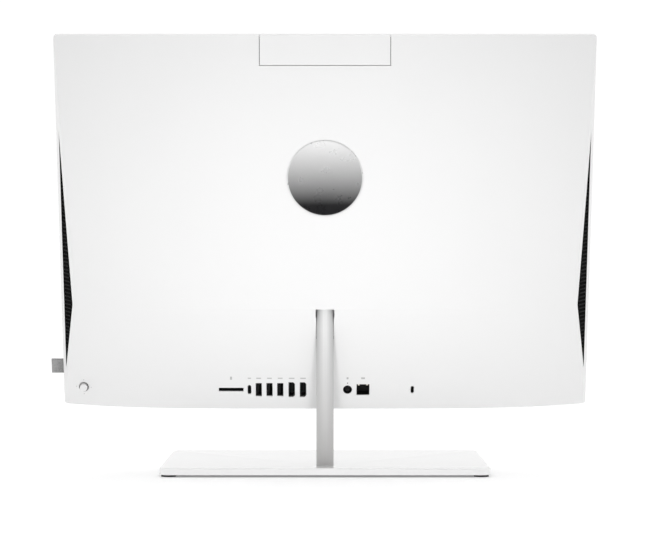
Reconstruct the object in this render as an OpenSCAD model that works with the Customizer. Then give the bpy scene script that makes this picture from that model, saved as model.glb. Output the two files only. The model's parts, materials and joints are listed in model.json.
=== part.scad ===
// All in one computer: a wedge-backed screen body on a steel bar neck and a flat base.
//
// Row frame, in mm: +Z up, the screen faces -Y, the rear faces +Y, the desk is z = 0
// and the origin is under the middle of the base.
// Panel frame, used inside on_panel(): x across, y from the screen's front face towards
// the rear (called depth or n below), z up from the body's bottom edge (called height or w).
// on_panel() turns the panel frame into the row frame at the rest tilt.

/* [Body] */
// Width across the body
body_w = 539; // [520:1:560]
// Height along the leaning body
body_h = 381.2; // [370:0.2:400]
// Thickness of the front frame
frame_depth = 7; // [6.6:0.1:8]
// Thickness at the top edge
top_depth = 11; // [10.6:0.1:13]
// Thickness on the centre line at the crease
crease_depth = 41; // [40:0.5:46]
// Thickness at the two ends of the crease
side_depth = 23; // [20:0.5:26]
// Thickness on the centre line at the bottom edge
bottom_depth = 28; // [27.5:0.5:32]
// Thickness at the two bottom corners
corner_depth = 9.5; // [9.3:0.1:12]
// Height of the crease above the bottom edge, also the height of the hinge axis
crease_h = 108.4; // [105:0.2:115]
// How far the rear face ends inside the frame at the crease
side_inset = 14.8; // [13:0.1:17]
// How far the rear face ends inside the frame at the bottom corners
corner_inset = 1.5; // [1:0.1:3]
// How far the rear face ends inside the frame at the top corners
top_inset = 0.3; // [0.2:0.1:1]
// How fast the rear face falls away to the sides at the crease and above it
crease_power = 2.4; // [2:0.1:3]
// How fast the rear face falls away to the sides at the bottom edge
bottom_power = 4.4; // [3.5:0.1:5]
// Wall thickness of the rear cover
wall = 2; // [1.8:0.1:2.2]
// Radius of the top corners
top_corner_r = 2.6; // [1:0.1:4]
// Radius of the bottom corners
bottom_corner_r = 1.5; // [1:0.1:3]

/* [Tilt] */
// Backward lean of the body at rest, in degrees
tilt = 13.5; // [10:0.5:18]
// Least backward lean
tilt_min = 5; // [4:0.5:8]
// Greatest backward lean
tilt_max = 25; // [20:0.5:25]
// Hinge axis behind the middle of the base
hinge_y = 59.6; // [50:0.5:65]
// Hinge axis above the desk
hinge_z = 169.2; // [160:0.5:180]
// Hinge axis behind the screen's front face
hinge_depth = 28; // [27:0.5:29]

/* [Neck] */
// Width of the neck bar
neck_w = 17.4; // [15:0.1:18]
// Distance from the hinge axis to the neck's rear face
neck_reach = 10.2; // [9.5:0.1:10.5]
// Radius of the neck's domed rear face
neck_dome_r = 14; // [12:0.5:20]
// Radius of the neck's two side edges
neck_side_r = 1.4; // [1:0.1:1.8]
// Gap around the neck at the top of the rear cover's slot
neck_gap = 0.8; // [0.5:0.1:0.8]
// Gap beside the neck further down the slot
slot_gap = 0.3; // [0.2:0.1:0.5]

/* [Base] */
// Width of the base
base_w = 330; // [300:1:360]
// Length of the base from front to back
base_d = 204; // [190:1:230]
// Thickness of the base without its feet
base_t = 6.8; // [6.5:0.1:9]
// Radius of the base's corners
base_corner_r = 10; // [6:0.5:20]
// Radius of the base's top edge
base_edge_r = 1; // [0.5:0.1:2]
// Height the feet lift the base
foot_h = 2.3; // [1.5:0.1:4]
// Radius of one foot
foot_r = 7.5; // [5:0.5:8]

/* [Screen and front] */
// Height of the glass's lower edge
glass_bottom = 65; // [64:1:70]
// Height of the fabric bar's upper edge
bar_top = 62; // [55:1:62]
// Length of the fabric tab outside the frame
tab_reach = 12.6; // [8:0.1:16]
// Height of the fabric tab
tab_h = 15.6; // [12:0.1:18]

/* [Rear details] */
// Height of the row of sockets
port_h = 21; // [20:0.1:24]
// Radius of the round badge
badge_r = 38.25; // [25:0.25:45]
// Height of the badge's centre
badge_h = 240; // [200:1:280]
// Width of the pop-up camera
camera_w = 129.6; // [100:0.1:140]
// Height of the pop-up camera
camera_h = 29.5; // [26:0.1:32]
// Sideways place of the control stick
stick_x = 248; // [245:0.5:250]
// Height of the control stick
stick_h = 19.8; // [19:0.1:22]
// Radius of the hole around the control stick
stick_hole_r = 5.2; // [5:0.1:6]

/* [Hidden] */

satin_white = [0.93, 0.93, 0.93];
gloss_white = [0.96, 0.96, 0.96];
steel_grey = [0.72, 0.72, 0.71];
dark_steel = [0.36, 0.36, 0.37];
soft_black = [0.07, 0.07, 0.07];
board_green = [0.05, 0.22, 0.14];
copper = [0.72, 0.42, 0.26];
cloth_grey = [0.56, 0.56, 0.56];
badge_grey = [0.62, 0.63, 0.64];

$fn = 64;
half_w = body_w / 2;
fit = 0.1;
cover_front = frame_depth + 0.2;
glass_half = half_w - 3;
glass_top = body_h - 2.6;
bar_half = half_w - 8.5;
bar_bottom = 4;
lcd_back = 6.4;
chassis_front = 7.6;
chassis_back = 8.6;
chassis_half = 256;
board_front = 13.4;
board_back = 15;
port_back = 27.4;
screw_r = 1.45;

// Sideways places of the row of sockets; seen from the rear, +x is on the left
card_x = 95.9;
usb_c_x = 77.2;
usb_a_x = 56.7;
usb_a_pitch = 11;
video_x = 28.2;
video_pitch = 11.6;
dc_x = -23;
lan_x = -38.8;
lock_x = -89.2;
light_h = port_h + 7.2;
marks_h = port_h + 12.6;

// ---------------------------------------------------------------- rear face of the body
function mix(a, b, t) = a + (b - a) * t;
// 0 at the top and bottom edges, 1 at the crease
function rise(w) = w > crease_h ? (body_h - w) / (body_h - crease_h) : w / crease_h;
function mid_depth(w) = mix(w > crease_h ? top_depth : bottom_depth, crease_depth, rise(w));
function edge_depth(w) = mix(w > crease_h ? top_depth : corner_depth, side_depth, rise(w));
function inset(w) = mix(w > crease_h ? top_inset : corner_inset, side_inset, rise(w));
function fall(w) = w > crease_h ? crease_power : mix(bottom_power, crease_power, rise(w));
function arc_in(r, d) = d < r ? r - sqrt(r * r - (r - d) * (r - d)) : 0;
// Half the body's width at one height, with the rounded corners
function half_at(w) = half_w - arc_in(bottom_corner_r, w) - arc_in(top_corner_r, body_h - w);
function edge_x(w) = half_at(w) - inset(w);
// Depth of the rear face at one place
function back_depth(x, w) =
    mid_depth(w) - (mid_depth(w) - edge_depth(w)) * pow(min(1, abs(x) / edge_x(w)), fall(w));
function slope_x(x, w) = (back_depth(x + 1, w) - back_depth(x - 1, w)) / 2;
function slope_w(x, w) = (back_depth(x, w + 1) - back_depth(x, w - 1)) / 2;

// ---------------------------------------------------------------- helpers
module on_panel() {
    translate([0, hinge_y, hinge_z])
        rotate([-tilt, 0, 0])
            translate([0, -hinge_depth, -crease_h])
                children();
}

// Puts children's +z along the rear face's outward normal at one place
module on_back(x, w) {
    translate([x, back_depth(x, w), w])
        rotate([0, 0, atan(slope_x(x, w))])
            rotate([-90 - atan(slope_w(x, w)), 0, 0])
                children();
}

// Extrudes a drawing of the panel (x across, y up) from one depth to another
module layer(front, back) {
    translate([0, back, 0])
        rotate([90, 0, 0])
            linear_extrude(back - front)
                children();
}

// A rectangle by its limits
module area(x0, x1, y0, y1) {
    translate([x0, y0])
        square([x1 - x0, y1 - y0]);
}

module both_sides() {
    children();
    mirror([1, 0, 0])
        children();
}

module rounded(w, h, r) {
    square([w - 2 * r, h], center = true);
    square([w, h - 2 * r], center = true);
    for (x = [-1, 1], y = [-1, 1])
        translate([x * (w / 2 - r), y * (h / 2 - r)])
            circle(r);
}

module body_outline() {
    area(-half_w, half_w, bottom_corner_r, body_h - top_corner_r);
    area(-half_w + bottom_corner_r, half_w - bottom_corner_r, 0, bottom_corner_r);
    area(-half_w + top_corner_r, half_w - top_corner_r, body_h - top_corner_r, body_h);
    both_sides() {
        translate([half_w - bottom_corner_r, bottom_corner_r])
            circle(bottom_corner_r);
        translate([half_w - top_corner_r, body_h - top_corner_r])
            circle(top_corner_r);
    }
}

// ---------------------------------------------------------------- base
base_recess = 4.4;
base_rim = 4;
plate_bottom = foot_h + 1.2;
plate_top = foot_h + base_recess - fit;
neck_foot_w = 70;
neck_foot_d = 44;
neck_foot_y = hinge_y + 7;
foot_x = base_w / 2 - foot_r - 1.5;
foot_y = base_d / 2 - foot_r - 4.5;

module base_cover() {
    color(gloss_white)
        difference() {
            translate([0, 0, foot_h])
                union() {
                    linear_extrude(base_t - base_edge_r)
                        rounded(base_w, base_d, base_corner_r);
                    linear_extrude(base_t)
                        rounded(base_w - 2 * base_edge_r, base_d - 2 * base_edge_r,
                            base_corner_r - base_edge_r);
                    translate([0, 0, base_t - base_edge_r])
                        base_top_edge();
                }
            translate([0, 0, foot_h - 1])
                linear_extrude(base_recess + 1)
                    rounded(base_w - 2 * base_rim, base_d - 2 * base_rim, base_corner_r - base_rim);
            translate([0, hinge_y, 0])
                linear_extrude(foot_h + base_t + 1)
                    neck_section(fit);
            base_screw_places()
                cylinder(r = screw_r + fit, h = foot_h + base_recess + 1.6);
            foot_places()
                cylinder(r = foot_r + fit, h = plate_bottom);
        }
}

// Quarter-round rim: four straight rods joined by four rounded corners
module base_top_edge() {
    for (side = [-1, 1]) {
        translate([side * (base_w / 2 - base_edge_r), 0, 0])
            rotate([90, 0, 0])
                cylinder(r = base_edge_r, h = base_d - 2 * base_corner_r, center = true);
        translate([0, side * (base_d / 2 - base_edge_r), 0])
            rotate([0, 90, 0])
                cylinder(r = base_edge_r, h = base_w - 2 * base_corner_r, center = true);
    }
    for (x = [-1, 1], y = [-1, 1])
        translate([x * (base_w / 2 - base_corner_r), y * (base_d / 2 - base_corner_r), 0])
            rotate_extrude()
                translate([base_corner_r - base_edge_r, 0])
                    circle(base_edge_r);
}

// Four screws around the neck's foot and four near the corners of the weight
module base_screw_places() {
    for (x = [-1, 1], y = [-1, 1]) {
        translate([x * (neck_foot_w / 2 - 7), neck_foot_y + y * (neck_foot_d / 2 - 7), 0])
            children();
        translate([x * (foot_x - 26), y * (foot_y - 6), 0])
            children();
    }
}

module base_weight() {
    color(dark_steel)
        difference() {
            translate([0, 0, plate_bottom])
                linear_extrude(plate_top - plate_bottom)
                    difference() {
                        rounded(base_w - 2 * base_rim - 1, base_d - 2 * base_rim - 1, 5);
                        translate([0, neck_foot_y])
                            square([neck_foot_w + 1, neck_foot_d + 1], center = true);
                    }
            base_screw_places()
                cylinder(r = screw_r + fit, h = foot_h + base_t);
        }
}

module foot_places() {
    for (x = [-1, 1], y = [-1, 1])
        translate([x * foot_x, y * foot_y, 0])
            children();
}

module base_feet() {
    color(soft_black) {
        foot_places()
            cylinder(r = foot_r, h = plate_bottom);
        cylinder(r = foot_r, h = plate_bottom);
    }
}

module base_screws() {
    color(dark_steel)
        base_screw_places() {
            translate([0, 0, foot_h + 0.1])
                cylinder(r = 3, h = plate_bottom - foot_h - 0.1);
            translate([0, 0, foot_h + 0.1])
                cylinder(r = screw_r, h = base_recess + 1.2);
        }
}

// ---------------------------------------------------------------- neck and hinge
// Section of the neck: x across, y measured from the hinge axis towards the rear.
// A domed rear face runs smoothly into two round side edges, and the front is flat.
dome_y = neck_reach - neck_dome_r;
side_x = neck_w / 2 - neck_side_r;
side_y = dome_y + sqrt(pow(neck_dome_r - neck_side_r, 2) - pow(side_x, 2));
neck_front = side_y - neck_side_r;
touch = neck_dome_r / (neck_dome_r - neck_side_r);
touch_x = side_x * touch;
touch_y = dome_y + (side_y - dome_y) * touch;

module neck_section(grow) {
    intersection() {
        translate([0, dome_y])
            circle(neck_dome_r + grow);
        polygon([
            [-side_x, neck_front - grow], [side_x, neck_front - grow], [side_x, side_y],
            [touch_x, touch_y], [touch_x, neck_reach + 2], [-touch_x, neck_reach + 2],
            [-touch_x, touch_y], [-side_x, side_y]
        ]);
    }
    for (side = [-1, 1])
        translate([side * side_x, side_y])
            circle(neck_side_r + grow);
}

// The neck's section swept around the hinge axis
module barrel(grow) {
    rotate([0, 90, 0])
        rotate_extrude()
            union() {
                rotate(-90)
                    neck_section(grow);
                area(0, side_y, -neck_w / 2 - grow, neck_w / 2 + grow);
            }
}

neck_top = -2;
pin_r = 4;
ear_in = neck_w / 2 + 1.8;
ear_out = ear_in + 3;
nut_h = 6;

module neck_foot() {
    color(dark_steel)
        difference() {
            translate([0, neck_foot_y, plate_bottom])
                linear_extrude(plate_top - plate_bottom)
                    rounded(neck_foot_w, neck_foot_d, 4);
            translate([0, hinge_y, 0])
                linear_extrude(foot_h + base_t)
                    neck_section(0.02);
            base_screw_places()
                cylinder(r = screw_r + fit, h = foot_h + base_t);
        }
}

module neck_bar() {
    color(steel_grey)
        translate([0, hinge_y, plate_bottom])
            linear_extrude(hinge_z + neck_top - plate_bottom)
                neck_section(0);
}

module hinge_barrel() {
    color(steel_grey)
        translate([0, hinge_y, hinge_z])
            difference() {
                barrel(0);
                translate([0, 0, neck_top - 20])
                    linear_extrude(20)
                        neck_section(0.02);
                rotate([0, 90, 0])
                    cylinder(r = pin_r + 0.02, h = neck_w + 2, center = true);
            }
}

// Children are drawn around the hinge axis, their +z along +x
module on_hinge(x) {
    translate([x, hinge_y, hinge_z])
        rotate([0, 90, 0])
            children();
}

module hinge_pin() {
    color(steel_grey)
        on_hinge(-ear_out - nut_h - 1)
            cylinder(r = pin_r, h = 2 * (ear_out + nut_h + 1));
}

module friction_washers() {
    color(dark_steel)
        both_sides()
            on_hinge(neck_w / 2 + fit)
                difference() {
                    cylinder(r = 8, h = ear_in - neck_w / 2 - 2 * fit);
                    translate([0, 0, -1])
                        cylinder(r = pin_r + 0.05, h = 5);
                }
}

module hinge_nuts() {
    color(dark_steel)
        both_sides()
            on_hinge(ear_out + fit)
                difference() {
                    cylinder(r = 7.4, h = nut_h, $fn = 6);
                    translate([0, 0, -1])
                        cylinder(r = pin_r + 0.02, h = nut_h + 2);
                }
}

bracket_w = 34;
bracket_screw_w = [crease_h - 34, crease_h + 34];
bracket_screw_x = ear_in + 22;

// Foot on the chassis and an upright ear with the hinge pin's hole
module hinge_bracket() {
    color(dark_steel)
        on_panel()
            difference() {
                union() {
                    layer(chassis_back, chassis_back + 2)
                        area(ear_in, ear_in + bracket_w, crease_h - 42, crease_h + 42);
                    translate([ear_in, hinge_depth, crease_h])
                        rotate([0, 90, 0])
                            cylinder(r = 8.6, h = ear_out - ear_in);
                    translate([ear_in, 0, 0])
                        rotate([90, 0, 90])
                            linear_extrude(ear_out - ear_in)
                                polygon([
                                    [chassis_back, crease_h - 24], [hinge_depth + 2, crease_h - 8.3],
                                    [hinge_depth + 2, crease_h + 8.3], [chassis_back, crease_h + 24]
                                ]);
                }
                translate([ear_in - 1, hinge_depth, crease_h])
                    rotate([0, 90, 0])
                        cylinder(r = pin_r + 0.05, h = 6);
                layer(0, 20)
                    for (w = bracket_screw_w)
                        translate([bracket_screw_x, w])
                            circle(2);
            }
}

module hinge_bracket_left() {
    hinge_bracket();
}

module hinge_bracket_right() {
    mirror([1, 0, 0])
        hinge_bracket();
}

module bracket_screws() {
    color(steel_grey)
        on_panel()
            both_sides()
                for (w = bracket_screw_w)
                    translate([bracket_screw_x, 0, w]) {
                        layer(chassis_back + 2, chassis_back + 4)
                            circle(4);
                        layer(lcd_back + 0.4, chassis_back + 3)
                            circle(1.9);
                    }
}

// Everything the neck and barrel pass through while the body tilts, in the panel frame:
// a wedge-shaped slot that widens into a straight-topped notch under the crease
module neck_space() {
    reach = 75;
    notch = 9;
    front = neck_front - neck_gap;
    back = neck_reach + neck_gap;
    translate([0, hinge_depth, crease_h]) {
        barrel(neck_gap);
        rotate([90, 0, 90])
            linear_extrude(neck_w + 2 * slot_gap, center = true)
                polygon([
                    [front * cos(tilt_min), front * sin(tilt_min)],
                    [front * cos(tilt_min) + reach * sin(tilt_min),
                        front * sin(tilt_min) - reach * cos(tilt_min)],
                    [back * cos(tilt_max) + reach * sin(tilt_max),
                        back * sin(tilt_max) - reach * cos(tilt_max)],
                    [back * cos(tilt_max), back * sin(tilt_max)]
                ]);
        translate([-neck_w / 2 - neck_gap, side_y, -notch])
            cube([neck_w + 2 * neck_gap, 20, notch]);
    }
}

// ---------------------------------------------------------------- front of the body
tab_front = 3.9;
tab_back = 5.9;
tab_bottom = 31.4;

module display_frame() {
    color(satin_white)
        on_panel()
            difference() {
                layer(0, frame_depth)
                    difference() {
                        body_outline();
                        area(-glass_half, glass_half, glass_bottom, glass_top);
                        area(-bar_half, bar_half, bar_bottom, bar_top);
                    }
                translate([bar_half - 1, tab_front - 0.3, tab_bottom - 0.3])
                    cube([20, tab_back - tab_front + 0.6, tab_h + 0.6]);
            }
}

module screen_glass() {
    color(soft_black)
        on_panel()
            layer(0.4, 1.4)
                area(-glass_half + 0.2, glass_half - 0.2, glass_bottom + 0.2, glass_top - 0.2);
}

module lcd_panel() {
    color([0.2, 0.2, 0.21])
        on_panel()
            layer(1.5, lcd_back)
                area(-glass_half + 1.5, glass_half - 1.5, glass_bottom + 1.5, glass_top - 1.5);
}

module speaker_fabric() {
    color(cloth_grey)
        on_panel()
            layer(0.5, 1.7)
                area(-bar_half + 0.4, bar_half - 0.4, bar_bottom + 0.4, bar_top - 0.4);
}

speaker_in = 140;
speaker_out = 226;
speaker_low = 10;
speaker_high = 52;

// Stiff backing of the fabric, slotted in front of the two speakers
module speaker_carrier() {
    slot_pitch = 5;
    slots = floor((speaker_out - speaker_in - 12) / slot_pitch);
    color(soft_black)
        on_panel()
            layer(2, 3.5)
                difference() {
                    area(-bar_half + 0.3, bar_half - 0.3, bar_bottom + 0.3, bar_top - 0.3);
                    both_sides()
                        for (i = [0 : slots])
                            translate([speaker_in + 6 + i * slot_pitch, speaker_low + 6])
                                square([2.4, speaker_high - speaker_low - 12]);
                }
}

module fabric_tab() {
    color(cloth_grey)
        on_panel()
            translate([bar_half + 0.3, tab_front, tab_bottom])
                cube([half_w - bar_half + tab_reach - 0.3, tab_back - tab_front, tab_h]);
}

// ---------------------------------------------------------------- chassis
board_left = 178;
board_mid = 48;
board_right = -62;
board_low = 11;
board_step = 72;
board_top = 250;
board_hole_places = [
    [board_left - 6, board_top - 6], [board_mid + 6, board_top - 6],
    [board_left - 6, board_step + 6], [board_right + 6, board_step - 6],
    [board_right + 6, board_low + 5], [board_left - 62, board_low + 5]
];

module board_holes() {
    for (p = board_hole_places)
        translate(p)
            children();
}

// Sheet metal plate behind the screen, with raised standoffs for the board
module chassis_plate() {
    color(steel_grey)
        on_panel()
            difference() {
                union() {
                    layer(chassis_front, chassis_back)
                        difference() {
                            area(-chassis_half, chassis_half, 13, 300);
                            both_sides()
                                area(speaker_in - 4, speaker_out + 4, 8, speaker_high + 4);
                        }
                    layer(chassis_front, board_front)
                        board_holes()
                            circle(3.2);
                }
                layer(0, board_back)
                    board_holes()
                        circle(screw_r + 0.05);
                layer(0, board_back)
                    both_sides()
                        for (w = bracket_screw_w)
                            translate([bracket_screw_x, w])
                                circle(2);
            }
}

// ---------------------------------------------------------------- rear cover
// The cover is one closed skin: an outer and an inner grid of points, one ring of points
// per height, joined along the front rim. Points across a ring follow the rear face.
across = 56;
ring_size = across + 3;
corner_steps = [0, 0.134, 0.5, 1];
levels = concat(
    [for (s = corner_steps) s * bottom_corner_r],
    [for (i = [1 : 6]) mix(bottom_corner_r, crease_h, i / 6)],
    [mix(crease_h, body_h, 0.5)],
    [for (i = [3 : -1 : 0]) body_h - corner_steps[i] * top_corner_r]
);
last_level = len(levels) - 1;

function inner_height(w) = w < crease_h ?
    mix(wall, crease_h, w / crease_h) :
    mix(crease_h, body_h - wall, (w - crease_h) / (body_h - crease_h));

function ring(w, h, x_in, depth_in) = concat(
    [[-half_w + (half_w - half_at(w)) + x_in, cover_front, h]],
    [for (i = [0 : across])
        let (t = 2 * i / across - 1, x = t * edge_x(w))
        [x - t * x_in * 0.8, back_depth(x, w) - depth_in, h]],
    [[half_at(w) - x_in, cover_front, h]]
);

cover_points = concat(
    [for (w = levels) each ring(w, w, 0, 0)],
    [for (w = levels) each ring(inner_height(w), inner_height(w), wall, wall)]
);

function outer_id(j, i) = j * ring_size + i;
function inner_id(j, i) = (last_level + 1 + j) * ring_size + i;
// Two triangles per cell, with the diagonal mirrored about the centre line
function cell(a, b, c, d, i) = 2 * i < ring_size ? [[a, b, c], [a, c, d]] : [[a, b, d], [b, c, d]];

end = ring_size - 1;
cover_faces = concat(
    [for (j = [0 : last_level - 1], i = [0 : end - 1])
        each cell(outer_id(j, i), outer_id(j, i + 1), outer_id(j + 1, i + 1), outer_id(j + 1, i), i)],
    [for (j = [0 : last_level - 1], i = [0 : end - 1])
        each cell(inner_id(j + 1, i), inner_id(j + 1, i + 1), inner_id(j, i + 1), inner_id(j, i), i)],
    [for (j = [0 : last_level - 1])
        [outer_id(j, 0), outer_id(j + 1, 0), inner_id(j + 1, 0), inner_id(j, 0)]],
    [for (j = [0 : last_level - 1])
        [inner_id(j, end), inner_id(j + 1, end), outer_id(j + 1, end), outer_id(j, end)]],
    [[for (i = [end : -1 : 0]) outer_id(0, i)]],
    [[for (i = [0 : end]) outer_id(last_level, i)]],
    [[for (i = [0 : end]) inner_id(0, i)]],
    [[for (i = [end : -1 : 0]) inner_id(last_level, i)]],
    [[outer_id(0, 0), inner_id(0, 0), inner_id(0, end), outer_id(0, end)]],
    [[inner_id(last_level, 0), outer_id(last_level, 0),
        outer_id(last_level, end), inner_id(last_level, end)]]
);

// Outline of the side vent seen from the rear: a long triangle whose blunt point is at the crease
vent_out_x = half_w - 3.1;
vent_in_x = half_w - side_inset + 1.9;
vent_top = 286;
vent_bottom = 38;

function vent_corners(gap) = [
    [vent_out_x - gap, vent_top - 20 * gap],
    [vent_in_x + gap, crease_h],
    [vent_out_x - gap, vent_bottom + 8 * gap]
];

usb_c_gap = [3.8, 9.9];
usb_a_gap = [6.3, 14.4];
video_gap = [6.6, 16.3];

// Outline of a video socket: the two corners on its +x side are cut off
module video_outline(w, h, cut) {
    polygon([
        [-w / 2, -h / 2], [w / 2 - cut, -h / 2], [w / 2, -h / 2 + cut],
        [w / 2, h / 2 - cut], [w / 2 - cut, h / 2], [-w / 2, h / 2]
    ]);
}

// Mouth of the network socket, with the notch for the plug's latch on top
module lan_mouth() {
    translate([0, -0.9])
        square([12.2, 9.2], center = true);
    translate([0, 4])
        square([6.6, 3.4], center = true);
}

module usb_a_places() {
    for (i = [-1 : 1])
        translate([usb_a_x + i * usb_a_pitch, port_h])
            children();
}

module video_places() {
    for (i = [-1, 1])
        translate([video_x + i * video_pitch / 2, port_h])
            children();
}

module socket_openings() {
    translate([card_x, port_h])
        square([25.3, 3.9], center = true);
    translate([usb_c_x, port_h])
        rounded(usb_c_gap[0], usb_c_gap[1], usb_c_gap[0] / 2 - 0.01);
    usb_a_places()
        square(usb_a_gap, center = true);
    video_places()
        mirror([1, 0])
            video_outline(video_gap[0], video_gap[1], 1.8);
    translate([dc_x, port_h])
        circle(4.65);
    translate([dc_x, light_h])
        circle(0.65);
    translate([lan_x, port_h])
        square([13.2, 12], center = true);
    translate([lock_x, port_h])
        rounded(3.4, 7.8, 1.6);
}

module rear_cover() {
    color(satin_white)
        on_panel()
            difference() {
                polyhedron(points = cover_points, faces = cover_faces);
                neck_space();
                layer(bottom_depth - wall - 4, crease_depth)
                    socket_openings();
                layer(frame_depth + 2, crease_depth)
                    translate([stick_x, stick_h])
                        circle(stick_hole_r);
                layer(frame_depth + 1.4, crease_depth)
                    both_sides()
                        polygon(vent_corners(0));
                layer(frame_depth - 1, crease_depth)
                    area(-camera_w / 2 - 0.6, camera_w / 2 + 0.6, body_h - camera_h - 0.6, body_h + 5);
                on_back(0, badge_h)
                    translate([0, 0, -0.6])
                        cylinder(r = badge_r + 0.15, h = 3);
            }
}

// ---------------------------------------------------------------- side vents
vent_recess = 0.7;
vent_thick = 1.4;
// Depth of the sloping side wall at a place between the frame's edge and the rear face
function side_wall_depth(x, w) =
    mix(cover_front, edge_depth(w), (half_at(w) - x) / inset(w));

// The vent plate's corners, so far below the side wall
function vent_points(drop) = [
    for (c = vent_corners(0.25)) [c[0], side_wall_depth(c[0], c[1]) - drop, c[1]]
];

module side_vent() {
    slot_pitch = 4;
    slots = floor((vent_top - vent_bottom - 40) / slot_pitch);
    color(soft_black)
        on_panel()
            difference() {
                polyhedron(
                    points = concat(vent_points(vent_recess), vent_points(vent_recess + vent_thick)),
                    faces = [[0, 1, 2], [5, 4, 3], [0, 3, 4, 1], [1, 4, 5, 2], [2, 5, 3, 0]]
                );
                for (i = [0 : slots])
                    vent_slot(vent_bottom + 16 + i * slot_pitch);
            }
}

// One slot across the vent, as long as the triangle allows at its height
module vent_slot(w) {
    open = w > crease_h ?
        (vent_top - 8 - w) / (vent_top - crease_h) :
        (w - vent_bottom - 5) / (crease_h - vent_bottom);
    length = open * (vent_out_x - vent_in_x) - 0.9;
    if (length > 0.8)
        translate([vent_out_x - 0.8 - length, 0, w])
            cube([length, side_depth + 5, 2]);
}

module side_vent_left() {
    side_vent();
}

module side_vent_right() {
    mirror([1, 0, 0])
        side_vent();
}

// ---------------------------------------------------------------- electronics
processor_x = 112;
processor_h = 187;
pipe_front = 17;
pipe_back = 19.4;
fin_front = 9.6;
fin_low = 122;
fin_high = 178;
fan_x = 195.5;
fan_h = 150;
fan_half = 29.5;
fan_front = 8.7;
fan_back = 18.6;

module motherboard() {
    color(board_green)
        on_panel()
            difference() {
                union() {
                    layer(board_front, board_back) {
                        area(board_right, board_left - 56, board_low, board_step + 1);
                        area(board_mid, board_left, board_step, board_top);
                    }
                    // power stages beside the processor, and the two card connectors
                    layer(board_back - 0.5, board_back + 3.4)
                        for (i = [0 : 4])
                            translate([processor_x - 34, processor_h - 30 + i * 9])
                                square(6.5, center = true);
                    layer(board_back - 0.5, board_back + 3.6) {
                        area(133, 138, 83, 107);
                        area(173, 176, 83, 107);
                    }
                    layer(board_back - 0.5, board_back + 2) {
                        area(66, 86, 112, 132);
                        area(0, 16, 46, 62);
                    }
                }
                layer(0, board_back + 1)
                    board_holes()
                        circle(screw_r + 0.15);
                // room for the blower
                layer(0, board_back + 1)
                    area(fan_x - fan_half - 2, board_left + 1, fan_h - fan_half - 4, fan_h + fan_half + 4);
            }
}

module board_screws() {
    color(steel_grey)
        on_panel() {
            layer(board_back, board_back + 1.6)
                board_holes()
                    circle(2.8);
            layer(chassis_back, board_back + 1)
                board_holes()
                    circle(screw_r);
        }
}

module processor() {
    color([0.1, 0.3, 0.2])
        on_panel()
            translate([processor_x, 0, processor_h]) {
                layer(board_back, board_back + 0.6)
                    square([40, 28], center = true);
                layer(board_back + 0.5, board_back + 1.1)
                    square([22, 12], center = true);
            }
}

// Cold plate on the processor, held by four spring arms
module heat_sink() {
    color(copper)
        on_panel()
            translate([processor_x, 0, processor_h])
                layer(board_back + 1.2, pipe_front - fit) {
                    square([46, 28], center = true);
                    for (a = [-1, 1])
                        rotate(a * 18)
                            square([58, 5], center = true);
                }
}

// Two flat pipes from the cold plate around a bend onto the fins
module heat_pipes() {
    bend = 14;
    color(copper)
        on_panel()
            layer(pipe_front, pipe_back)
                for (i = [0, 1])
                    pipe_path(241 - i * 8, processor_h + 9 - i * 8, bend - i * 4);
}

module pipe_path(outer_x, outer_h, bend) {
    width = 6;
    area(processor_x - 22, outer_x - bend, outer_h - width, outer_h);
    area(outer_x - width, outer_x, fin_low + 1, outer_h - bend);
    translate([outer_x - bend, outer_h - bend])
        intersection() {
            difference() {
                circle(bend);
                circle(bend - width);
            }
            square(bend);
        }
}

module fin_stack() {
    fins = 26;
    pitch = (fin_high - fin_low - 0.6) / fins;
    color([0.8, 0.8, 0.81])
        on_panel()
            difference() {
                layer(fin_front, pipe_front - fit)
                    area(226.5, 242, fin_low, fin_high);
                for (i = [0 : fins - 1])
                    translate([220, fin_front + 0.6, fin_low + 0.6 + i * pitch])
                        cube([30, pipe_front - fin_front - 1.4, pitch - 0.6]);
            }
}

// Blower housing: open towards the fins, with a round inlet in its rear face
module fan_housing() {
    color(soft_black)
        on_panel()
            translate([fan_x, 0, fan_h]) {
                difference() {
                    layer(fan_front, fan_back)
                        square(2 * fan_half, center = true);
                    layer(fan_front + 1, fan_back - 1) {
                        circle(26.5);
                        area(0, fan_half + 1, -26, 26);
                    }
                    layer(fan_back - 2, fan_back + 1)
                        circle(16);
                }
                layer(fan_front + 0.5, fan_back - 4)
                    circle(1);
            }
}

module fan_rotor() {
    blades = 19;
    color([0.13, 0.13, 0.13])
        on_panel()
            translate([fan_x, 0, fan_h]) {
                difference() {
                    layer(fan_front + 1.5, fan_back - 1.4)
                        circle(10);
                    layer(fan_front, fan_back - 3.6)
                        circle(1.05);
                }
                layer(fan_front + 2, fan_back - 1.8)
                    for (i = [0 : blades - 1])
                        rotate(i * 360 / blades)
                            translate([9, 0])
                                rotate(28)
                                    square([16.5, 0.8]);
            }
}

module memory_socket() {
    color(soft_black)
        on_panel()
            difference() {
                layer(board_back, board_back + 7.6)
                    area(51, 123, 202, 208.5);
                memory_boards(0.1);
            }
}

// Two memory boards, one above the other, held along their lower edges
module memory_boards(grow) {
    for (n = [board_back + 2, board_back + 5.4])
        layer(n - grow, n + 1.2 + grow)
            area(53.2 - grow, 120.8 + grow, 205 - grow, 235 + grow);
}

module memory_modules() {
    color(board_green)
        on_panel() {
            memory_boards(0);
            for (n = [board_back + 3, board_back + 6.4], i = [0 : 3])
                translate([60 + i * 15, 0, 214])
                    layer(n, n + 0.9)
                        square([11, 14]);
        }
}

module ssd_module() {
    color(board_green)
        on_panel() {
            layer(board_back + 1.6, board_back + 2.4)
                area(52, 132.8, 84, 106);
            layer(board_back + 2.3, board_back + 3.6)
                for (i = [0 : 2])
                    translate([56 + i * 24, 88])
                        square([18, 14]);
        }
}

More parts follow.
